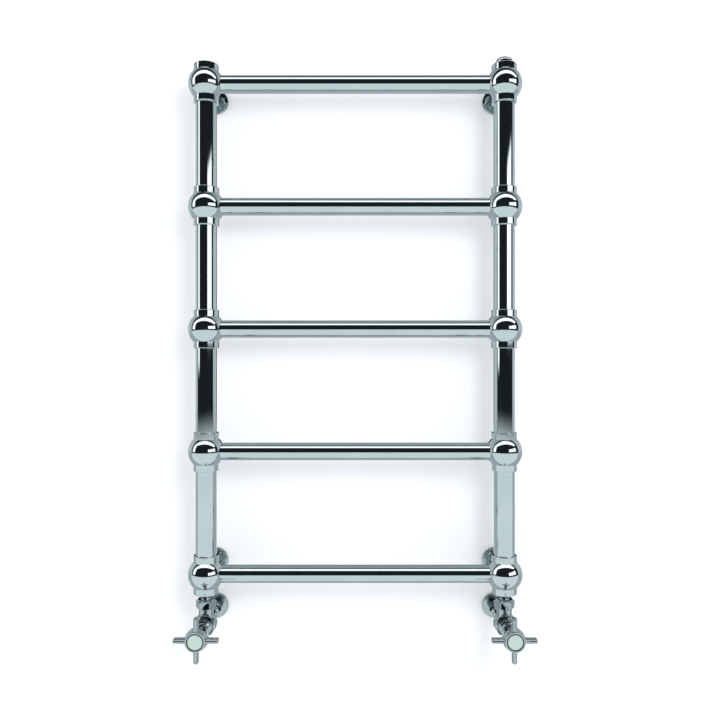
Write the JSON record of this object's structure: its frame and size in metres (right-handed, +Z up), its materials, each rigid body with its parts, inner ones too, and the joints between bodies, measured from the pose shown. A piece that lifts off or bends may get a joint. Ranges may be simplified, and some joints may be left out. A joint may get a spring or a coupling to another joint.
{
  "type": "towel radiator with valves",
  "caption": "Wall-hung traditional chrome towel radiator: horizontal rails between ball-jointed columns on wall stays, with cross-head angle valves below.",
  "frame": {"origin": "on the finished wall face, midway between the columns, at the height of the top rail's axis", "axes": "+X to the viewer's right, +Z up, +Y into the wall, so the front faces -Y"},
  "size_m": [0.6206, 0.1791, 1.0672],
  "materials": {
    "chrome_plate": "polished",
    "bare_brass": "satin",
    "zinc_steel": "satin",
    "glazed_disc": "gloss"
  },
  "bodies": {
    "radiator": {"ball_joint_left_1": "chrome_plate", "ball_joint_left_2": "chrome_plate", "ball_joint_left_3": "chrome_plate", "ball_joint_left_4": "chrome_plate", "ball_joint_left_5": "chrome_plate", "column_tube_left_1": "chrome_plate", "column_tube_left_2": "chrome_plate", "column_tube_left_3": "chrome_plate", "column_tube_left_4": "chrome_plate", "ball_joint_right_1": "chrome_plate", "ball_joint_right_2": "chrome_plate", "ball_joint_right_3": "chrome_plate", "ball_joint_right_4": "chrome_plate", "ball_joint_right_5": "chrome_plate", "column_tube_right_1": "chrome_plate", "column_tube_right_2": "chrome_plate", "column_tube_right_3": "chrome_plate", "column_tube_right_4": "chrome_plate", "rail_1": "chrome_plate", "rail_2": "chrome_plate", "rail_3": "chrome_plate", "rail_4": "chrome_plate", "rail_5": "chrome_plate", "wall_stay_upper_left": "chrome_plate", "wall_rose_upper_left": "chrome_plate", "wall_stay_lower_left": "chrome_plate", "wall_rose_lower_left": "chrome_plate", "wall_stay_upper_right": "chrome_plate", "wall_rose_upper_right": "chrome_plate", "wall_stay_lower_right": "chrome_plate", "wall_rose_lower_right": "chrome_plate", "top_cap_left": "chrome_plate", "air_vent_body": "chrome_plate", "reducing_bush_left": "chrome_plate", "valve_tail_left": "chrome_plate", "union_nut_left": "chrome_plate", "valve_body_left": "chrome_plate", "bonnet_left": "chrome_plate", "pipe_nut_left": "chrome_plate", "inlet_pipe_left": "chrome_plate", "pipe_rose_left": "chrome_plate", "reducing_bush_right": "chrome_plate", "valve_tail_right": "chrome_plate", "union_nut_right": "chrome_plate", "valve_body_right": "chrome_plate", "bonnet_right": "chrome_plate", "pipe_nut_right": "chrome_plate", "inlet_pipe_right": "chrome_plate", "pipe_rose_right": "chrome_plate"},
    "handle_left": {"handle_cross_left": "chrome_plate", "handle_disc_left": "glazed_disc", "handle_screw_left": "zinc_steel", "spindle_left": "bare_brass"},
    "plug_body_left": {"plug_left": "bare_brass"},
    "handle_right": {"handle_cross_right": "chrome_plate", "handle_disc_right": "glazed_disc", "handle_screw_right": "zinc_steel", "spindle_right": "bare_brass"},
    "plug_body_right": {"plug_right": "bare_brass"},
    "bleed_key_screw": {"bleed_screw": "zinc_steel"}
  },
  "joints": [
    {"name": "valve_handle_left", "type": "hinge", "parent": "radiator", "child": "handle_left", "pos_m": [-0.2715, -0.088, -0.9803], "axis": [0, -1, 0], "range_deg": [0, 765]},
    {"name": "valve_plug_left", "type": "slide", "parent": "radiator", "child": "plug_body_left", "axis": [0, -1, 0], "range_m": [0, 0.0055]},
    {"name": "valve_handle_right", "type": "hinge", "parent": "radiator", "child": "handle_right", "pos_m": [0.2715, -0.088, -0.9803], "axis": [0, -1, 0], "range_deg": [0, 765]},
    {"name": "valve_plug_right", "type": "slide", "parent": "radiator", "child": "plug_body_right", "axis": [0, -1, 0], "range_m": [0, 0.0055]},
    {"name": "bleed_screw_turn", "type": "hinge", "parent": "radiator", "child": "bleed_key_screw", "pos_m": [0.2715, -0.088, 0.043], "axis": [0, 0, 1], "range_deg": [0, 180]}
  ],
  "couplings": [
    {"joint": "valve_plug_left", "follows": "valve_handle_left", "m_per_rad": 0.00039789},
    {"joint": "valve_plug_right", "follows": "valve_handle_right", "m_per_rad": 0.00039789}
  ]
}
